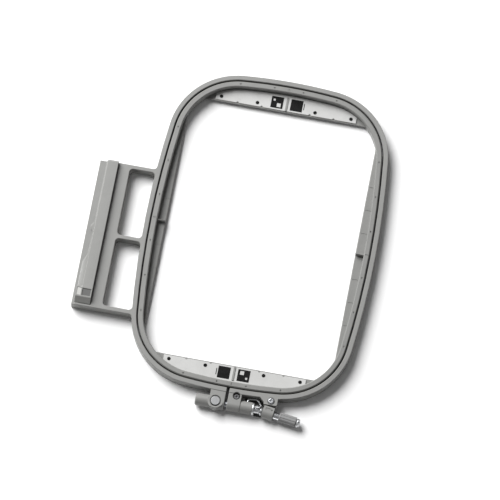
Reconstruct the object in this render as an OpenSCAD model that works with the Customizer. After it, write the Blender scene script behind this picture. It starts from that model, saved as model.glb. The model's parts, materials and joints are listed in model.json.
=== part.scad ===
// Embroidery hoop for a domestic embroidery machine: a split outer ring with a carriage
// bracket and a screw clamp, and a lift-out inner frame with camera-marker plates.
// Origin: centre of the sewing field on the plane the hoop lies on. +Y runs along the long side.

/* [Rings] */
// Half width of the joint between the two rings
joint_half_w = 90.6; // [90:0.1:91]
// Half length of the joint between the two rings
joint_half_l = 130.6; // [130:0.1:131]
// Radius of the long, nearly straight sides
side_r = 760; // [740:1:780]
// Radius of the short sides
end_r = 420; // [410:1:430]
// Radius of the corners
corner_r = 53; // [50:0.5:55]
// Clear gap between the rings, filled by cloth in use
cloth_gap = 1.2; // [1:0.1:1.3]
// Wall thickness of the outer ring
outer_wall = 4; // [3.8:0.1:4.2]
// Wall thickness of the inner ring
inner_wall = 4.5; // [4.3:0.1:4.7]
// Height of both rings
ring_h = 10.8; // [10.6:0.1:11]
// Width of the split in the outer ring
split_w = 2.2; // [1.6:0.1:2.6]

/* [Sewing field] */
// Half width of the opening
field_half_w = 78.3; // [77:0.1:79]
// Half length of the opening
field_half_l = 110.5; // [109:0.1:111]
// Top of the flange inside the inner ring
flange_top = 4; // [3.8:0.1:4.2]
// Thickness of the flange
flange_t = 2; // [1.6:0.1:2.4]
// Pitch of the scale lines and of the notches
scale_pitch = 20; // [20:1:20]

/* [Marker plates] */
// Half width of a marker plate
plate_half_w = 58.5; // [58:0.1:59]
// Distance from the field's centre to a plate's straight edge
plate_edge = 111.4; // [111.2:0.1:111.6]
// Thickness of a plate
plate_t = 0.8; // [0.6:0.1:1]
// Side of a marker square
marker_side = 10; // [9:0.5:10]
// Thickness of the printed markers
ink_t = 0.1; // [0.1:0.05:0.2]

/* [Bracket] */
// Left edge of the bracket
bracket_left = -140.7; // [-142:0.1:-140]
// Right edge of the bracket's solid strip
bracket_right = -115.2; // [-116:0.1:-115]
// Lower end of the bracket
bracket_low = -85.1; // [-86:0.1:-84]
// Upper end of the bracket
bracket_high = 40.5; // [40:0.1:41]
// Height of the connector bar above the bracket
bar_rise = 4; // [3.6:0.1:4.4]
// Lower end of the connector bar's full height
bar_low = -78.7; // [-80:0.1:-78]
// Upper end of the connector bar
bar_high = 40.9; // [40.6:0.1:41.4]
// Left side of the connector bar
bar_left = -134; // [-134.2:0.1:-133.6]
// Right side of the connector bar
bar_right = -125.2; // [-126:0.1:-125]

/* [Clamp] */
// Distance of the clamp screw from the field's centre
clamp_y = -143.8; // [-144:0.1:-143.6]
// Height of the clamp screw's axis
clamp_z = 5.3; // [5.2:0.1:5.4]
// Radius of the clamp screw
rod_r = 2.5; // [2.4:0.05:2.5]
// Distance of the swivel nut from the field's centre line
nut_x = -10.1; // [-10.4:0.1:-9.8]
// Radius of the swivel nut
nut_r = 3.75; // [3.6:0.05:3.8]
// Outer radius of the lugs and sleeves round the screw
sleeve_r = 5.2; // [5.1:0.05:5.2]
// Place of the universal joint along the clamp
joint_x = 23; // [22.8:0.1:23.2]
// Angle between the clamp screw and the knob's shaft
knob_tilt = 8; // [6:0.5:9]
// Radius of the knob's shaft
shaft_r = 2.9; // [2.8:0.05:3]
// Radius of the knob's grip
knob_r = 4.2; // [4:0.1:4.4]
// Length of the knob along its axis
knob_l = 17.4; // [17:0.1:18]
// Number of grooves along the knob
knob_grooves = 10; // [8:1:12]

/* [Hidden] */
eps = 0.01;
run_fit = 0.05;                                   // radial clearance of a running fit
$fn = 48;

// The joint line is four big arcs and four corner arcs, all tangent to each other.
side_c = side_r - joint_half_w;                   // distance of a side arc's centre
end_c = joint_half_l - end_r;                     // place of the upper arc's centre on Y
to_side = side_r - corner_r;
to_end = end_r - corner_r;
centre_gap = norm([side_c, end_c]);
along = (to_side * to_side - to_end * to_end + centre_gap * centre_gap) / (2 * centre_gap);
across = sqrt(to_side * to_side - along * along);
corner_x = -side_c + (along * side_c - across * end_c) / centre_gap;
corner_y = (along * end_c + across * side_c) / centre_gap;
side_a = atan2(corner_y, corner_x + side_c);      // half the angle of a side arc
end_a = atan2(corner_x, corner_y - end_c);        // half the angle of an end arc

outer_in = cloth_gap / 2;                         // offsets of the walls from the joint line
outer_out = outer_in + outer_wall;
inner_out = -cloth_gap / 2;
inner_in = inner_out - inner_wall;
split_x = -split_w / 2 - 0.5;                     // centre of the split, left of centre line
plate_z = flange_top + plate_t;
ridge_end = 123;                                  // outer end of the ridge between the squares

window_fillet = 3;
window_low = [-81.4, -23.3];
window_high = [-20, 37.2];
flange_low = 1.8;                                 // the bracket's left flange is this much lower
lip_x = bar_left - 1;                             // left edge of the lip beside the bar
end_x = lip_x - 3.2;                              // left edge of the lip's wide lower end
lip_edge = [[lip_x, -13], [lip_x - 2.4, -16.5], [lip_x - 2.4, -18.5], [lip_x + 0.1, -21.5],
            [lip_x - 0.3, -41], [end_x, -48]];

lug_left = [nut_x - 6.9, split_x - split_w / 2];
lug_right = [split_x + split_w / 2, 10.4];
lug_h = 10.5;
collar = [11.7, 13.7];                            // thrust collar on the clamp screw
sleeve_end = 20.2;
spring_hole_x = 15.6;
cup = [16, 26];
cup_r = 3.3;
ball_r = 1.9;
block = [6.2, 15.2];                              // along the knob's axis, from the joint
plate_low = -139.4;                               // lower edge of the ring's screw ledge
ledge = [28.6, 39.4];
ledge_z = 5.4;
tongue_z = 0.8;
tray_t = 0.7;                                     // floor under the universal joint
block_screw_at = [34.2, -136.1];
block_head_r = 2.75;
sleeve_screw_at = [6.2, -136.8];
knob_start = 20;
core_r = 1.8;                                     // the shaft's end, inside the knob
end_screw_r = 1.2;
pin_r = 0.6;
knob_head = knob_start + knob_l - 2.4;            // where the knob's end screw sits
bar_screw_y = [-66, -30, 4, 34];
bar_screw_x = -129.3;
bar_seat = ring_h - 1.6;                          // the bar is let into the bracket this deep
bar_top = ring_h + bar_rise;
recess_x = [bar_left + 0.8, bar_right - 1];       // recess for the code insert
pad_x = [end_x + 0.8, bar_left - 0.2];            // recess for the code pad
recess_y = [-77.4, -71.4];
recess_z = bar_top - 1.2;
dimple_r = 0.6;
dimple_depth = 0.8;
scale_line_w = 0.5;
scale_line_h = 0.3;

function arc(c, r, a0, a1, n) =
    [for (i = [0:n]) let (a = a0 + (a1 - a0) * i / n) c + r * [cos(a), sin(a)]];

function reverse(p) = [for (i = [len(p) - 1:-1:0]) p[i]];

// The points of a route, moved d to its left.
function beside(p, d) = [for (i = [0:len(p) - 1])
    let (way = p[min(i + 1, len(p) - 1)] - p[max(i - 1, 0)]) p[i] + d * [-way[1], way[0]] / norm(way)];

// Outline of the joint line moved outwards by d.
function joint_line(d) = concat(
    arc([-side_c, 0], side_r + d, -side_a, side_a, 8),
    arc([corner_x, corner_y], corner_r + d, side_a, 90 - end_a, 20),
    arc([0, end_c], end_r + d, 90 - end_a, 90 + end_a, 8),
    arc([-corner_x, corner_y], corner_r + d, 90 + end_a, 180 - side_a, 20),
    arc([side_c, 0], side_r + d, 180 - side_a, 180 + side_a, 8),
    arc([-corner_x, -corner_y], corner_r + d, 180 + side_a, 270 - end_a, 20),
    arc([0, -end_c], end_r + d, 270 - end_a, 270 + end_a, 8),
    arc([corner_x, -corner_y], corner_r + d, 270 + end_a, 360 - side_a, 20));

module span(x, y, z) {
    translate([x[0], y[0], z[0]]) cube([x[1] - x[0], y[1] - y[0], z[1] - z[0]]);
}

module along_x(x, r) {
    translate([x[0], 0, 0]) rotate([0, 90, 0]) cylinder(r = r, h = x[1] - x[0]);
}

module at_clamp() {
    translate([0, clamp_y, clamp_z]) children();
}

// Places its children with +X along the knob's axis, from the universal joint.
module at_knob() {
    translate([joint_x, clamp_y, clamp_z]) rotate([0, 0, -knob_tilt]) children();
}

module upright(at, r, z) {
    translate([at[0], at[1], z[0]]) cylinder(r = r, h = z[1] - z[0]);
}

module cross_slot(r, w, depth) {
    for (a = [0, 90]) rotate([0, 0, a]) translate([-r, -w / 2, 0]) cube([2 * r, w, depth]);
}

module both_ends() {
    children();
    rotate([0, 0, 180]) children();
}

// ---- Outer frame ----

module outer_outline() {
    difference() {
        offset(r = -window_fillet) offset(r = window_fillet) difference() {
            union() {
                polygon(joint_line(outer_out));
                translate([bracket_left, bracket_low])
                    square([60, bracket_high - bracket_low]);
            }
            for (w = [window_low, window_high]) difference() {
                translate([bracket_right, w[0]]) square([40, w[1] - w[0]]);
                polygon(joint_line(outer_out));
            }
        }
        polygon(joint_line(outer_in));
    }
}

module screw_lugs() {
    span([lug_left[0] + 1.7, lug_left[1]], [clamp_y, -133], [0.1, lug_h]);
    span(lug_right, [clamp_y, -133], [0.1, lug_h]);
    upright([nut_x, clamp_y], 6.3, [0.1, lug_h]);
    at_clamp() {
        along_x(lug_left, sleeve_r);
        along_x(lug_right, sleeve_r);
    }
    translate([0, 0, ledge_z]) linear_extrude(ring_h - ledge_z) polygon([
        [23, -133], [ledge[0], -137.6], [ledge[0], plate_low], [ledge[1] - 1, plate_low],
        [ledge[1], plate_low + 1], [ledge[1], -132]]);
}

module lug_cuts() {
    span([split_x - split_w / 2, split_x + split_w / 2], [-160, -125], [-1, 12]);
    upright([nut_x, clamp_y], nut_r + 0.1, [-1, 12]);
    upright([nut_x, clamp_y], nut_r + 0.7, [9, 12]);
    upright([nut_x, clamp_y], 4.8, [-1, 1.2]);
    at_clamp() {
        along_x([-20, 15], rod_r + 0.1);
        along_x([lug_left[0] - 1, lug_left[0] + 1.6], 3.4);
        along_x([lug_right[1] - 1.2, 12], 4.15);
    }
    span([2.8, 12], [-139.3, -135.3], [3.5, 5.1]);
    upright(sleeve_screw_at, 1.25, [2, 12]);
    upright(sleeve_screw_at, 2.95, [7, 12]);
    upright(block_screw_at, 1.4, [2, 12]);
    upright(block_screw_at, block_head_r + 0.25, [9.7, 12]);
}

module bracket_cuts() {
    translate([0, 0, ring_h - flange_low]) linear_extrude(3) polygon(concat(
        [[bracket_left - 1, 45], [lip_x, 45]], lip_edge, [[end_x, -90], [bracket_left - 1, -90]]));
    span([bar_left, bar_right], [bracket_low + 2.1, 45], [bar_seat, 12]);
    for (y = [-73, -54, -18, 9]) span([-124, -117], [y, y + 16], [-1, 8.2]);
    for (y = [-79, -56, -22, 11]) span([-139, -135], [y, y + 18], [-1, 7]);
    for (y = bar_screw_y) {
        upright([bar_screw_x, y], 1.4, [-1, 12]);
        upright([bar_screw_x, y], 2.9, [-1, 3]);
    }
}

module outer_ring() color([0.68, 0.68, 0.66]) difference() {
    union() {
        linear_extrude(ring_h) outer_outline();
        difference() {
            screw_lugs();
            translate([0, 0, -1]) linear_extrude(14) polygon(joint_line(outer_out - 1));
        }
    }
    lug_cuts();
    bracket_cuts();
}

// The bar, a low lip along its left side, and the wide block both run into at their lower end.
module connector_bar() color([0.7, 0.7, 0.68]) difference() {
    end_low = bracket_low + 2.1;
    end_high = bar_low + 9.6;
    union() {
        translate([bar_left, 0, 0]) rotate([90, 0, 90]) linear_extrude(bar_right - bar_left)
            polygon([[end_low, bar_seat], [end_low, ring_h + 0.4], [bar_low, bar_top],
                     [bar_high - 1.5, bar_top], [bar_high, bar_top - 1.5], [bar_high, bar_seat]]);
        translate([end_x, 0, 0]) rotate([90, 0, 90]) linear_extrude(bar_left + 0.1 - end_x)
            polygon([[end_low, ring_h], [end_low, ring_h + 0.4], [bar_low, bar_top],
                     [end_high - 1, bar_top], [end_high, bar_top - 1], [end_high, ring_h]]);
        translate([0, 0, ring_h]) linear_extrude(0.8) polygon(concat(
            [[bar_left + 0.1, bar_high - 1.2], [lip_x, bar_high - 1.2]], lip_edge,
            [[end_x, end_high - 0.1], [bar_left + 0.1, end_high - 0.1]]));
    }
    span(recess_x, recess_y, [recess_z, 20]);
    span(pad_x, recess_y, [recess_z, 20]);
    for (y = bar_screw_y) upright([bar_screw_x, y], 1.2, [8, 12.4]);
}

module bar_screws() color([0.6, 0.6, 0.62]) for (y = bar_screw_y)
    translate([bar_screw_x, y, 0]) difference() {
        union() {
            translate([0, 0, 1.3]) cylinder(r = 2.4, h = 1.7);
            translate([0, 0, 3]) cylinder(r = 1.2, h = 9);
        }
        translate([0, 0, 1.3 - eps]) cross_slot(1.4, 0.6, 0.9);
    }

module code_insert() color([0.38, 0.38, 0.37])
    span(recess_x, recess_y, [recess_z, recess_z + 0.6]);

module code_pad() color([0.78, 0.78, 0.76])
    span(pad_x, recess_y, [recess_z, recess_z + 1]);

module swivel_nut() color([0.75, 0.76, 0.78]) difference() {
    union() {
        upright([nut_x, clamp_y], nut_r, [1.4, lug_h + 0.4]);
        upright([nut_x, clamp_y], 2.8, [0.4, 1.5]);
    }
    at_clamp() along_x([-20, 0], rod_r + run_fit);
}

module nut_clip() color([0.5, 0.5, 0.52]) difference() {
    upright([nut_x, clamp_y], 4.4, [0.6, 1.15]);
    upright([nut_x, clamp_y], 2.85, [0, 2]);
    span([nut_x - 1.2, nut_x + 1.2], [clamp_y - 6, clamp_y], [0, 2]);
}

module rod_cap() color([0.66, 0.66, 0.64]) at_clamp() difference() {
    union() {
        along_x([-26.4, -25.6], sleeve_r - 0.5);
        along_x([-25.6, lug_left[0]], sleeve_r - 0.05);
        along_x([lug_left[0] - eps, lug_left[0] + 1.5], 3.35);
    }
    along_x([-24.6, 0], rod_r + 0.3);
}

module thrust_sleeve() color([0.68, 0.68, 0.66]) difference() {
    union() {
        at_clamp() along_x([lug_right[1] + 0.15, sleeve_end], sleeve_r);
        at_clamp() along_x([lug_right[1] - 1.1, lug_right[1] + 1], 4.1);
        span([3, 13], [-139.2, -135.4], [3.6, 5]);
    }
    at_clamp() along_x([lug_right[1] - 2, lug_right[1] + 0.3], rod_r + 0.15);
    at_clamp() along_x([lug_right[1] + 0.25, 30], 4.05);
    upright(sleeve_screw_at, 1.15, [3, 6]);
    translate([spring_hole_x, clamp_y + 6, clamp_z]) rotate([90, 0, 0]) cylinder(r = 1.1, h = 3);
}

module thrust_ring() color([0.8, 0.8, 0.82]) at_clamp() difference() {
    union() {
        along_x([sleeve_end, sleeve_end + 1.3], sleeve_r - 0.2);
        along_x([sleeve_end - 1.4, sleeve_end + 0.2], 4.05);
    }
    along_x([0, 40], cup_r + 0.25);
}

module thrust_washer() color([0.75, 0.75, 0.77]) at_clamp() difference() {
    along_x([10.7, 11.6], 3.95);
    along_x([0, 20], rod_r + 0.1);
}

module sleeve_screw() color([0.62, 0.62, 0.64]) difference() {
    union() {
        upright(sleeve_screw_at, 2, [7, 8.6]);
        upright(sleeve_screw_at, 1.15, [2.4, 7.1]);
    }
    translate([sleeve_screw_at[0], sleeve_screw_at[1], 7.7]) cross_slot(1.2, 0.55, 2);
}

// A bent wire: out of the sleeve, over the universal joint, down to the shaft's clip.
module click_spring() color([0.85, 0.85, 0.86]) {
    wire = 1.4;
    route = concat([[spring_hole_x, -138.9]], arc([17.4, -138], 1.8, 180, 98, 6),
                   arc([21.8, -138.7], 3.1, 98, 40, 6), [[27.1, -140.2]]);
    translate([0, 0, clamp_z - wire / 2]) linear_extrude(wire)
        polygon(concat(beside(route, wire / 2), reverse(beside(route, -wire / 2))));
}

module joint_tray() color([0.25, 0.25, 0.25])
    translate([0, 0, 0.1]) linear_extrude(tray_t) difference() {
        polygon([[lug_right[1], -130], [lug_right[1], -140.8], [21.9, -140.8], [21.9, -148],
                 [28.6, -148], [28.6, -130]]);
        polygon(joint_line(outer_out));
    }

module bearing_block() color([0.68, 0.68, 0.66]) {
    difference() {
        union() {
            at_knob() along_x(block, sleeve_r);
            at_knob() span(block, [0, 4.6], [0.1 - clamp_z, lug_h - clamp_z]);
            span([29.8, 38.6], [-141, -134.5], [tongue_z, ledge_z - 0.1]);
        }
        at_knob() along_x([0, 30], 3.5);
        upright(block_screw_at, 1.3, [1.6, 12]);
        at_knob() translate([8, 1.2, lug_h - clamp_z - 0.4]) cube([4.4, 1.9, 1]);
        at_knob() translate([13.2, 2.1, lug_h - clamp_z - 0.8]) cylinder(r = 0.6, h = 1);
    }
}

module block_bush() color([0.72, 0.62, 0.4]) at_knob() difference() {
    union() {
        along_x([block[0] - 0.7, block[0]], 4.2);
        along_x([block[0] - eps, block[1] + 0.3], 3.5);
    }
    along_x([0, 30], shaft_r + run_fit);
}

module block_screw() color([0.78, 0.78, 0.8]) difference() {
    union() {
        upright(block_screw_at, block_head_r, [9.7, 10.9]);
        translate([block_screw_at[0], block_screw_at[1], 10.9])
            cylinder(r1 = block_head_r, r2 = 1.9, h = 0.7);
        upright(block_screw_at, 1.3, [1.8, 9.8]);
    }
    translate([block_screw_at[0], block_screw_at[1], 10.5]) cross_slot(1.6, 0.65, 3);
}

// ---- Clamp screw ----

module clamp_screw() color([0.72, 0.72, 0.74]) at_clamp() {
    along_x([-23.6, 19.4], rod_r);
    along_x(collar, 3.9);
}

module screw_cup() color([0.7, 0.7, 0.72]) at_clamp() difference() {
    along_x(cup, cup_r);
    along_x([cup[0] - 1, 19.4], rod_r);
    along_x([20.4, 30], ball_r + 0.35);
    for (a = [0, 90]) rotate([a, 0, 0]) translate([21.4, -0.8, -5]) cube([10, 1.6, 10]);
}

// ---- Knob ----

module knob_shaft() color([0.82, 0.82, 0.84]) at_knob() difference() {
    union() {
        sphere(r = ball_r);
        along_x([0, 4], 1.25);
        along_x([3.8, knob_start + 0.2], shaft_r);
        along_x([knob_start, knob_start + 13], core_r);
    }
    along_x([knob_start + 9, 60], end_screw_r);
    translate([0, 0, -5]) cylinder(r = pin_r, h = 10);
}

module shaft_clip() color([0.5, 0.5, 0.52]) at_knob() difference() {
    along_x([4.5, 5.2], 3.6);
    along_x([0, 10], shaft_r);
}

module drive_pin() color([0.6, 0.6, 0.62]) at_knob()
    translate([0, 0, -3]) cylinder(r = pin_r, h = 6);

module knob() color([0.6, 0.6, 0.6]) at_knob() {
    grip = [knob_start + 0.2, knob_head - 0.8];
    difference() {
        union() {
            along_x(grip, knob_r);
            along_x([grip[1] - 1, knob_head], 3);
        }
        for (i = [0:knob_grooves - 1]) rotate([360 * (i + 0.5) / knob_grooves, 0, 0])
            translate([0, 0, knob_r + 0.15]) along_x([grip[0] + 1.2, grip[1] + 0.5], 0.55);
        along_x([0, knob_start + 13], core_r);
        along_x([0, 60], end_screw_r + run_fit);
    }
}

module knob_screw() color([0.8, 0.8, 0.82]) at_knob() difference() {
    union() {
        along_x([knob_head, knob_head + 1.4], 3.6);
        translate([knob_head + 1.4, 0, 0]) rotate([0, 90, 0]) cylinder(r1 = 3.6, r2 = 2.7, h = 1);
        along_x([knob_start + 9.4, knob_head + 0.1], end_screw_r);
    }
    translate([knob_head + 1, -0.55, -4]) cube([3, 1.1, 8]);
}

// ---- Inner frame ----

module inner_ring() color([0.62, 0.62, 0.6]) {
    mid = (inner_out + inner_in) / 2;
    top_y = joint_half_l + mid;
    side_x = joint_half_w + mid;
    dimple_z = [ring_h - dimple_depth, 12];
    difference() {
        union() {
            linear_extrude(ring_h) difference() {
                polygon(joint_line(inner_out));
                polygon(joint_line(inner_in));
            }
            translate([0, 0, flange_top - flange_t]) linear_extrude(flange_t) difference() {
                polygon(joint_line(inner_in + 0.5));
                square([2 * field_half_w, 2 * field_half_l], center = true);
            }
            both_ends() crescent_details();
            both_ends() span([-0.7, 0.7], [plate_edge, ridge_end], [flange_top - 1, plate_z + 0.6]);
        }
        for (s = [-1, 1]) {
            for (y = [-80, -50, -20, 20, 50, 80])
                upright([s * (side_x - y * y / (2 * side_r)), y], dimple_r, dimple_z);
            for (x = [-40, -12, 12, 40])
                upright([x, s * (top_y - x * x / (2 * end_r))], dimple_r, dimple_z);
            span([s * side_x - 1.1, s * side_x + 1.1], [-0.3, 0.3], [ring_h - 0.5, 12]);
            span([-0.3, 0.3], [s * top_y - 1.1, s * top_y + 1.1], [ring_h - 0.5, 12]);
        }
    }
}

module crescent_details() {
    span([field_half_w, 86], [-0.15, 1.15], [flange_top - 1, 8.4]);
    for (i = [-3, -2, -1, 1, 2, 3])
        translate([field_half_w + 1, i * scale_pitch - scale_line_w / 2, flange_top - 1])
            cube([6 - 0.14 * i * i, scale_line_w, 1 + scale_line_h]);
}

module marker_plate() color([0.9, 0.9, 0.88]) difference() {
    translate([0, 0, flange_top]) linear_extrude(plate_t) intersection() {
        polygon(joint_line(inner_in - 0.4));
        difference() {
            translate([-plate_half_w, plate_edge]) square([2 * plate_half_w, 20]);
            for (i = [-2, -1, 1, 2]) translate([i * scale_pitch, plate_edge]) circle(r = 1);
            translate([-0.75, plate_edge - 1]) square([1.5, ridge_end - plate_edge + 1.1]);
        }
    }
}

// Two squares, one of them with light cells, four dots and a thin line.
module markers() color([0.05, 0.05, 0.05]) translate([0, 0, plate_z]) linear_extrude(ink_t) {
    difference() {
        translate([-8.1, 117.6]) square(marker_side, center = true);
        translate([-10.6, 119.6]) square(1.8, center = true);
        translate([-6.5, 115.4]) square(3.3, center = true);
    }
    translate([8.1, 117.6]) square(marker_side, center = true);
    translate([14, 114.9]) square([0.6, 5.5]);
    for (x = [-54, -24, 24, 54]) translate([x, 114.4]) circle(r = 1.5);
}

module marker_plate_top() marker_plate();
module marker_plate_bottom() rotate([0, 0, 180]) marker_plate();
module markers_top() markers();
module markers_bottom() rotate([0, 0, 180]) markers();

outer_ring();
connector_bar();
bar_screws();
code_insert();
code_pad();
swivel_nut();
nut_clip();
rod_cap();
thrust_sleeve();
thrust_ring();
thrust_washer();
sleeve_screw();
click_spring();
joint_tray();
bearing_block();
block_bush();
block_screw();
clamp_screw();
screw_cup();
knob_shaft();
shaft_clip();
drive_pin();
knob();
knob_screw();
inner_ring();
marker_plate_top();
marker_plate_bottom();
markers_top();
markers_bottom();
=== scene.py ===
"""Looks for an embroidery hoop: every CAD node gets softened edges and a worked-out material."""

import json
import math

import bmesh
import bpy
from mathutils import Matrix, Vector
from mathutils.bvhtree import BVHTree


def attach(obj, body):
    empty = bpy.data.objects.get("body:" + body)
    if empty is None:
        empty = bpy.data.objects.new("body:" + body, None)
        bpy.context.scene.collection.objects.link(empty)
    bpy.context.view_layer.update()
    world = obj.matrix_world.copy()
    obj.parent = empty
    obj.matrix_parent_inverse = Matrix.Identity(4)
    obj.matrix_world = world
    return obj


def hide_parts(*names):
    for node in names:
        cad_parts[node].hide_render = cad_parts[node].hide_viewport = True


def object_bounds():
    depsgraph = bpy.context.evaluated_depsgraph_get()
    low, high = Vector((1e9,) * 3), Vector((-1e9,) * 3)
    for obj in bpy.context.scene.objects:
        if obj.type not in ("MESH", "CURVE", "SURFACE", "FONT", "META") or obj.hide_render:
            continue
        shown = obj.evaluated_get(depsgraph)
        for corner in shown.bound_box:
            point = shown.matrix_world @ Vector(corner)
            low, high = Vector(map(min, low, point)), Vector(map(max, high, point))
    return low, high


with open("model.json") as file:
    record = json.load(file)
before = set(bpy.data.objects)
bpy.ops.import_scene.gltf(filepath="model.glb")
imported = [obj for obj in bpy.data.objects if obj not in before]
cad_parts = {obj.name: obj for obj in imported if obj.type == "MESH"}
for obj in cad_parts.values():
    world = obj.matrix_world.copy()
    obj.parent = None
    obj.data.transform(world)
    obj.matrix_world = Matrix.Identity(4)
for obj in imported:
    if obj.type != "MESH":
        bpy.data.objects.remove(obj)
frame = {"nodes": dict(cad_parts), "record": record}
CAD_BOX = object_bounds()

MM = 0.001
NODES = frame["nodes"]
BODY_OF = {n: b for b, members in frame["record"]["behaviour"]["bodies"].items() for n in members}
SLOT_OF = {s["node"]: s["material_slot"] for s in frame["record"]["subparts"]}
BASE = {m["slot"]: m["base_color"] for m in frame["record"]["materials"]}

# ---------------------------------------------------------------- materials


class Shader:
    """A small helper that adds nodes to one material and links them."""

    def __init__(self, name):
        self.material = bpy.data.materials.new(name)
        self.material.use_nodes = True
        self.tree = self.material.node_tree
        self.bsdf = self.tree.nodes["Principled BSDF"]
        self.where = self.tree.nodes.new("ShaderNodeTexCoord").outputs["Object"]

    def node(self, kind, inputs=None, **settings):
        made = self.tree.nodes.new(kind)
        for key, value in settings.items():
            setattr(made, key, value)
        for key, value in (inputs or {}).items():
            self.feed(made.inputs[key], value)
        return made

    def feed(self, socket, value):
        if isinstance(value, bpy.types.NodeSocket):
            self.tree.links.new(value, socket)
        else:
            socket.default_value = value

    def noise(self, size, detail=2.0, stretch=(1, 1, 1)):
        """Noise whose blobs are about size metres across, stretched along the axes."""
        mapped = self.node("ShaderNodeMapping", {"Vector": self.where, "Scale": stretch})
        return self.node("ShaderNodeTexNoise", {
            "Vector": mapped.outputs["Vector"], "Scale": 1 / size, "Detail": detail,
            "Roughness": 0.55}).outputs["Fac"]

    def ramp(self, value, low, high, at=(0.3, 0.7)):
        made = self.node("ShaderNodeMapRange", {
            "Value": value, "From Min": at[0], "From Max": at[1], "To Min": low, "To Max": high})
        return made.outputs["Result"]

    def mix(self, amount, first, second):
        made = self.node("ShaderNodeMix", data_type="RGBA")
        self.feed(made.inputs[0], amount)
        self.feed(made.inputs[6], first)
        self.feed(made.inputs[7], second)
        return made.outputs[2]

    def bump(self, height, distance, normal=None):
        inputs = {"Height": height, "Distance": distance, "Strength": 1.0}
        if normal is not None:
            inputs["Normal"] = normal
        return self.node("ShaderNodeBump", inputs).outputs["Normal"]

    def edge(self, low=0.52, high=0.62):
        """1 on outer edges, 0 on flat faces."""
        point = self.node("ShaderNodeNewGeometry").outputs["Pointiness"]
        return self.node("ShaderNodeMapRange", {
            "Value": point, "From Min": low, "From Max": high}).outputs["Result"]


def tinted(colour, factor):
    return [min(1.0, c * factor) for c in colour[:3]] + [1.0]


def moulded_plastic(name, colour, rough=0.42, grain=0.00035, depth=0.000012, wear_and_highlight=1.18):
    """Spark-textured moulded plastic: fine grain, cloudy tint, and paler edges that are partly rubbed
    wear and partly a painted highlight.
    """
    s = Shader(name)
    cloud = s.ramp(s.noise(0.018, 3.0), 0.0, 1.0)
    speck = s.ramp(s.noise(0.0011, 4.0), 0.0, 1.0, (0.35, 0.65))
    base = s.mix(cloud, tinted(colour, 0.955), tinted(colour, 1.04))
    base = s.mix(s.ramp(speck, 0.0, 0.35, (0.0, 1.0)), base, tinted(colour, 0.90))
    # Paler convex edges: partly rubbed wear, partly a painted highlight where light catches the edges
    # and chamfers.
    base = s.mix(s.ramp(s.edge(), 0.0, 0.55, (0.0, 1.0)), base, tinted(colour, wear_and_highlight))
    s.feed(s.bsdf.inputs["Base Color"], base)
    s.feed(s.bsdf.inputs["Roughness"], s.ramp(s.noise(0.006, 3.0), rough - 0.06, rough + 0.07))
    fine = s.bump(s.noise(grain, 3.0), depth)
    s.feed(s.bsdf.inputs["Normal"], s.bump(s.noise(0.011, 2.0), 0.00006, fine))
    s.bsdf.inputs["Specular IOR Level"].default_value = 0.42
    return s.material


def printed_black(name, colour):
    """Matt screen print with a faint mottle."""
    s = Shader(name)
    mottle = s.ramp(s.noise(0.0009, 4.0), 0.0, 1.0, (0.35, 0.7))
    s.feed(s.bsdf.inputs["Base Color"], s.mix(mottle, tinted(colour, 0.6), tinted(colour, 1.9)))
    s.feed(s.bsdf.inputs["Roughness"], s.ramp(s.noise(0.003, 3.0), 0.62, 0.8))
    s.feed(s.bsdf.inputs["Normal"], s.bump(s.noise(0.0003, 2.0), 0.000006))
    s.bsdf.inputs["Specular IOR Level"].default_value = 0.12
    return s.material


def turned_metal(name, colour, rough, along=(1, 1, 1), scratch=1.0):
    """Plated or turned metal: fine machining lines, faint stains and paler convex edges."""
    s = Shader(name)
    lines = s.noise(0.00022, 3.0, along)
    stain = s.ramp(s.noise(0.007, 3.0), 0.0, 1.0)
    base = s.mix(stain, tinted(colour, 0.92), tinted(colour, 1.03))
    # Paler on convex edges.
    base = s.mix(s.ramp(s.edge(), 0.0, 0.6, (0.0, 1.0)), base, tinted(colour, 1.2))
    s.feed(s.bsdf.inputs["Base Color"], base)
    s.feed(s.bsdf.inputs["Roughness"], s.ramp(lines, rough * 0.85, rough * 1.2))
    s.feed(s.bsdf.inputs["Normal"], s.bump(lines, 0.000002 * scratch))
    s.bsdf.inputs["Metallic"].default_value = 1.0
    return s.material


ALONG_X = (0.06, 1.0, 1.0)
MATERIALS = {
    "frame_plastic": moulded_plastic("frame_plastic", BASE["frame_plastic"]),
    "inner_plastic": moulded_plastic("inner_plastic", BASE["inner_plastic"]),
    "bar_plastic": moulded_plastic("bar_plastic", BASE["bar_plastic"], rough=0.38),
    "knob_plastic": moulded_plastic("knob_plastic", BASE["knob_plastic"], depth=0.00003),
    "plate_white": moulded_plastic("plate_white", BASE["plate_white"], 0.33, 0.0005, 0.000006, 1.05),
    "marker_black": printed_black("marker_black", BASE["marker_black"]),
    # The dark plastic colours the tray under the clamp joint, a dark sheet that paints the deep shade
    # of the pocket above it.
    "dark_plastic": moulded_plastic("dark_plastic", BASE["dark_plastic"], rough=0.5),
    "light_plastic": moulded_plastic("light_plastic", BASE["light_plastic"], rough=0.4),
    "bright_steel": turned_metal("bright_steel", BASE["bright_steel"], 0.42),
    # The swivel nut's steel at 0.4 of the bright steel's colour: painted shade that tones down the key
    # light's reflection on the nut's face.
    "nut_face_painted_shade": turned_metal("nut_face_painted_shade", tinted(BASE["bright_steel"], 0.4), 0.5),
    "screw_steel": turned_metal("screw_steel", BASE["screw_steel"], 0.33, ALONG_X),
    "dark_steel": turned_metal("dark_steel", BASE["dark_steel"], 0.38),
    "spring_steel": turned_metal("spring_steel", BASE["spring_steel"], 0.28, ALONG_X),
    "chrome": turned_metal("chrome", BASE["chrome"], 0.22, scratch=0.5),
}

# ---------------------------------------------------------------- pieces

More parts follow.
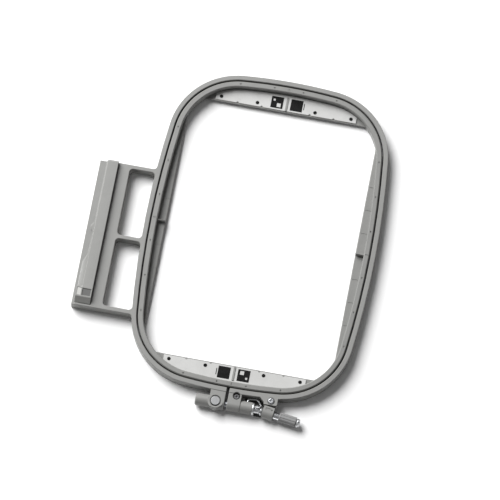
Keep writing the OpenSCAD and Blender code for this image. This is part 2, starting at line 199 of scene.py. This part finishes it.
# Angles in degrees.
SHARP = 30            # an outer edge sharper than this is softened
ONE_PLANE = 0.6       # faces that differ by less than this become one face
SMOOTH_EDGES = 32     # shading breaks at edges sharper than this on softened pieces,
SMOOTH_SWEPT = 40     # and at these on swept ones
# Distances in metres.
SAME_POINT = 0.000002
SAME_HEIGHT = 0.00001
PAST_SKIN = 0.000001
SMALL_CORNER = 0.00015    # joins the outer ring's 0.1 mm corner roundings into plain corners


def smooth(mesh, angle):
    """Smooth shading with the edges sharper than angle kept sharp."""
    made = bmesh.new()
    made.from_mesh(mesh)
    for face in made.faces:
        face.smooth = True
    for edge in made.edges:
        edge.smooth = len(edge.link_faces) == 2 and edge.calc_face_angle(0) < math.radians(angle)
    made.to_mesh(mesh)
    made.free()


def piece(name, mesh, node):
    """Puts a finished mesh into the scene in place of a CAD node."""
    obj = bpy.data.objects.new(name, mesh)
    bpy.context.scene.collection.objects.link(obj)
    mesh.materials.clear()
    # The swivel nut takes the darkened steel, which paints shade on its face.
    mesh.materials.append(MATERIALS["nut_face_painted_shade" if node == "swivel_nut" else SLOT_OF[node]])
    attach(obj, BODY_OF[node])
    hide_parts(node)
    return obj


def chains(edges):
    """Groups of edges that hang together."""
    at = {}
    for edge in edges:
        for vert in edge.verts:
            at.setdefault(vert, []).append(edge)
    seen = set()
    for edge in edges:
        if edge in seen:
            continue
        seen.add(edge)
        waiting, group = [edge], []
        while waiting:
            here = waiting.pop()
            group.append(here)
            for near in (e for vert in here.verts for e in at[vert]):
                if near not in seen:
                    seen.add(near)
                    waiting.append(near)
        yield group


def breadth(group):
    """The second longest side of the box round some edges."""
    points = [vert.co for edge in group for vert in edge.verts]
    sides = [max(p[i] for p in points) - min(p[i] for p in points) for i in range(3)]
    return sorted(sides)[1]


def kept_crisp(edge):
    """True if an edge lies wholly in one of the CRISP boxes."""
    return any(all(low * MM < c < high * MM for vert in edge.verts
                   for c, low, high in zip(vert.co, *box)) for box in CRISP)


def soft_edges(node, width, detail, weld=SAME_POINT, flat=False, lip_z=None):
    """A copy of a CAD node with its flat faces made whole and its outer edges rounded.

    Outlines narrower than detail stay as they are, and points closer than weld become one.
    With flat, the edges become narrow chamfers; edges at height lip_z get one twice as wide,
    and those below it none. Points that a corner pushed out go back to the CAD surface.
    """
    made = bmesh.new()
    made.from_mesh(NODES[node].data)
    bmesh.ops.remove_doubles(made, verts=made.verts, dist=weld)
    bmesh.ops.dissolve_limit(made, angle_limit=math.radians(ONE_PLANE), verts=made.verts,
                             edges=made.edges)
    skin = BVHTree.FromBMesh(made)
    sharp = [e for e in made.edges if len(e.link_faces) == 2 and e.is_convex
             and e.calc_face_angle(0) > math.radians(SHARP)]
    wide = [e for group in chains(sharp) if breadth(group) >= detail for e in group
            if not kept_crisp(e)]
    if lip_z is not None:
        lip = [e for e in wide if all(abs(v.co.z - lip_z) < SAME_HEIGHT for v in e.verts)]
        wide = [e for e in wide if e not in set(lip)]
        bmesh.ops.bevel(made, geom=lip, offset=2 * width, offset_type="OFFSET", segments=1,
                        profile=0.5, clamp_overlap=False, affect="EDGES")
        wide = [e for e in wide
                if e.is_valid and max(v.co.z for v in e.verts) > lip_z + SAME_HEIGHT]
    bmesh.ops.bevel(made, geom=wide, offset=width, offset_type="OFFSET",
                    segments=2 if flat else 3, profile=0.27 if flat else 0.55,
                    clamp_overlap=False, affect="EDGES")
    for vert in made.verts:
        near, normal, _, _ = skin.find_nearest(vert.co)
        if (vert.co - near).dot(normal) > PAST_SKIN:
            vert.co = near
    bmesh.ops.triangulate(made, faces=[f for f in made.faces if len(f.verts) > 4])
    mesh = bpy.data.meshes.new(node + "_soft")
    made.to_mesh(mesh)
    made.free()
    smooth(mesh, SMOOTH_EDGES)
    made_piece = piece(node + "_piece", mesh, node)
    weigh = made_piece.modifiers.new("flat faces stay flat", "WEIGHTED_NORMAL")
    weigh.keep_sharp = True
    weigh.weight = 80
    return made_piece


def swept(path, ring_of):
    """A closed mesh that joins one ring of points per place on the path."""
    made = bmesh.new()
    rings = [[made.verts.new(p) for p in ring_of(i)] for i in range(len(path))]
    for low, high in zip(rings, rings[1:]):
        for k in range(len(low)):
            n = (k + 1) % len(low)
            made.faces.new((low[k], low[n], high[n], high[k]))
    made.faces.new(rings[0][::-1])
    made.faces.new(rings[-1])
    bmesh.ops.recalc_face_normals(made, faces=made.faces)
    return made


def finish_mesh(made, name):
    mesh = bpy.data.meshes.new(name)
    made.to_mesh(mesh)
    made.free()
    smooth(mesh, SMOOTH_SWEPT)
    return mesh


WIRE_SIDES = 14


def bent_wire(node, route, radius):
    """Round wire along a route of points in mm."""
    points = [Vector(p) * MM for p in route]

    def ring_of(i):
        way = (points[min(i + 1, len(points) - 1)] - points[max(i - 1, 0)]).normalized()
        side = way.cross(Vector((0, 0, 1))).normalized()
        up = side.cross(way)
        return [points[i] + radius * MM * (math.cos(a) * side + math.sin(a) * up)
                for a in (2 * math.pi * k / WIRE_SIDES for k in range(WIRE_SIDES))]

    return piece(node + "_piece", finish_mesh(swept(points, ring_of), node + "_wire"), node)


ROD_SIDES = 28
RINGS_PER_TURN = 6
RUN_OUT = 0.8             # the groove's depth fades over this length at both ends, in mm
CREST = 1.5               # flattens the tops of the thread
COLLAR_SIDES = 48
COLLAR_BORE = 2.0         # inside the rod's core, in mm
COLLAR_CHAMFER = 0.3      # in mm


def threaded_rod(node, low, high, centre, radius, core, pitch, collar):
    """A rod along X with a real helical groove, and a plain collar on it, all in mm.

    collar holds its two ends along X and its radius.
    """
    steps = int((high - low) / pitch * RINGS_PER_TURN)

    def ring_of(i):
        x = low + (high - low) * i / steps
        ends = min(1.0, (x - low) / RUN_OUT, (high - x) / RUN_OUT)
        points = []
        for k in range(ROD_SIDES):
            a = 2 * math.pi * k / ROD_SIDES
            wave = 0.5 + 0.5 * math.cos(2 * math.pi * (x / pitch) - a)
            r = core + (radius - core) * min(1.0, CREST * wave) * max(0.0, ends)
            points.append((x * MM, centre[0] * MM + r * MM * math.cos(a),
                           centre[1] * MM + r * MM * math.sin(a)))
        return points

    made = swept(range(steps + 1), ring_of)
    collar_mesh = bmesh.new()
    start, end, rim = collar
    turned = [(start, COLLAR_BORE), (start, rim - COLLAR_CHAMFER), (start + COLLAR_CHAMFER, rim),
              (end - COLLAR_CHAMFER, rim), (end, rim - COLLAR_CHAMFER), (end, COLLAR_BORE)]
    rings = [[collar_mesh.verts.new((x * MM, (centre[0] + r * math.cos(a)) * MM,
                                     (centre[1] + r * math.sin(a)) * MM))
              for a in (2 * math.pi * k / COLLAR_SIDES for k in range(COLLAR_SIDES))]
             for x, r in turned]
    for first, second in zip(rings, rings[1:] + rings[:1]):
        for k in range(COLLAR_SIDES):
            n = (k + 1) % COLLAR_SIDES
            collar_mesh.faces.new((first[k], first[n], second[n], second[k]))
    bmesh.ops.recalc_face_normals(collar_mesh, faces=collar_mesh.faces)
    part = bpy.data.meshes.new("collar")
    collar_mesh.to_mesh(part)
    collar_mesh.free()
    made.from_mesh(part)
    return piece(node + "_piece", finish_mesh(made, node + "_thread"), node)


def arc(centre, radius, start, stop, count):
    """Points on an arc from one angle to another, in degrees, as count equal steps."""
    return [(centre[0] + radius * math.cos(math.radians(start + (stop - start) * i / count)),
             centre[1] + radius * math.sin(math.radians(start + (stop - start) * i / count)))
            for i in range(count + 1)]


# Width of the softened edges, and the smallest breadth of an outline that gets them, in mm.
OTHER_EDGES = (0.06, 1.0)
FLAT_CHAMFERS = ("outer_ring", "inner_ring")
EDGES = {
    "outer_ring": (0.45, 2.0), "inner_ring": (0.7, 2.0), "connector_bar": (0.3, 2.0),
    "bearing_block": (0.35, 2.5), "rod_cap": (0.35, 1.0), "thrust_sleeve": (0.25, 1.5),
    "knob": (0.1, 1.0), "marker_plate_top": (0.12, 1.0), "marker_plate_bottom": (0.12, 1.0),
    "swivel_nut": (0.3, 1.0), "block_screw": (0.1, 1.0), "sleeve_screw": (0.1, 1.0),
    "thrust_ring": (0.15, 1.0), "knob_shaft": (0.1, 1.0), "screw_cup": (0.12, 1.0),
}
# Where walls are too thin for a chamfer: both ends of the left lug, and round the block screw.
CRISP = [((-17.5, -149.5, 0.0), (-13.2, -134.0, 10.6)), ((-5.4, -150.2, 0.0), (-3.0, -138.5, 10.6)),
         ((28.0, -139.6, 5.3), (39.6, -131.9, 10.9))]
# Y and Z of the clamp screw's axis, and the height of the lip beside the bar, in mm.
CLAMP_YZ = (-143.8, 5.3)
LIP_TOP = 11.6
for node in sorted(NODES):
    if node.startswith("markers"):
        NODES[node].data.materials.clear()
        NODES[node].data.materials.append(MATERIALS[SLOT_OF[node]])
    elif node == "click_spring":
        route = ([(15.6, -138.9)] + arc((17.4, -138), 1.8, 180, 98, 8)
                 + arc((21.8, -138.7), 3.1, 98, 40, 10) + [(27.1, -140.2)])
        bent_wire(node, [(x, y, CLAMP_YZ[1]) for x, y in route], radius=0.69)
    elif node == "clamp_screw":
        threaded_rod(node, low=-23.6, high=19.4, centre=CLAMP_YZ, radius=2.5, core=2.08, pitch=0.8,
                     collar=(11.7, 13.7, 3.9))
    else:
        width, detail = EDGES.get(node, OTHER_EDGES)
        soft_edges(node, width * MM, detail * MM, SMALL_CORNER if node == "outer_ring" else SAME_POINT,
                   node in FLAT_CHAMFERS, LIP_TOP * MM if node == "connector_bar" else None)

# ---------------------------------------------------------------- stage

# The camera: where it looks, from which side and how far, and the width it takes in there.
AIM = Vector((-6.7, -10.6, 1.9)) * MM
AZIMUTH = math.radians(10.667)
ELEVATION = math.radians(72.26)
DISTANCE = 5.0
VIEW_WIDTH = 0.4074
SENSOR = 36
FLOOR_HALF = 6.0
FLOOR_GAP = 0.0002        # the floor lies this far below the object
KEY_PLACE = Vector((-1.74, 1.42, 1.99))
KEY_SIZE = 2.8
KEY_WATTS = 206
SKY = 0.17


def make_floor():
    made = bmesh.new()
    bmesh.ops.create_grid(made, x_segments=1, y_segments=1, size=FLOOR_HALF)
    mesh = bpy.data.meshes.new("floor")
    made.to_mesh(mesh)
    made.free()
    floor = bpy.data.objects.new("floor", mesh)
    bpy.context.scene.collection.objects.link(floor)
    floor.location.z = CAD_BOX[0].z - FLOOR_GAP
    s = Shader("floor_white")
    s.feed(s.bsdf.inputs["Base Color"], s.mix(s.ramp(s.noise(0.4, 2.0), 0.0, 1.0),
                                             (0.90, 0.90, 0.90, 1), (0.92, 0.92, 0.92, 1)))
    s.bsdf.inputs["Roughness"].default_value = 0.9
    mesh.materials.append(s.material)


def make_key_light():
    data = bpy.data.lights.new("key", "AREA")
    data.shape = "DISK"
    data.size = KEY_SIZE
    data.energy = KEY_WATTS
    light = bpy.data.objects.new("key", data)
    bpy.context.scene.collection.objects.link(light)
    light.location = KEY_PLACE
    light.rotation_mode = "QUATERNION"
    light.rotation_quaternion = (-KEY_PLACE).to_track_quat("-Z", "Y")


def make_world():
    world = bpy.data.worlds.new("studio")
    world.use_nodes = True
    background = world.node_tree.nodes["Background"]
    background.inputs["Color"].default_value = (1, 1, 1, 1)
    background.inputs["Strength"].default_value = SKY
    bpy.context.scene.world = world


def make_camera():
    data = bpy.data.cameras.new("camera")
    data.sensor_width = SENSOR
    data.lens = SENSOR * DISTANCE / VIEW_WIDTH
    data.clip_start, data.clip_end = 0.1, 50
    camera = bpy.data.objects.new("camera", data)
    bpy.context.scene.collection.objects.link(camera)
    back = Vector((math.sin(AZIMUTH) * math.cos(ELEVATION),
                   -math.cos(AZIMUTH) * math.cos(ELEVATION), math.sin(ELEVATION)))
    camera.location = AIM + back * DISTANCE
    camera.rotation_mode = "QUATERNION"
    camera.rotation_quaternion = (-back).to_track_quat("-Z", "Y")
    bpy.context.scene.camera = camera


make_floor()
make_camera()
make_world()
make_key_light()
bpy.context.scene.view_settings.view_transform = "Standard"
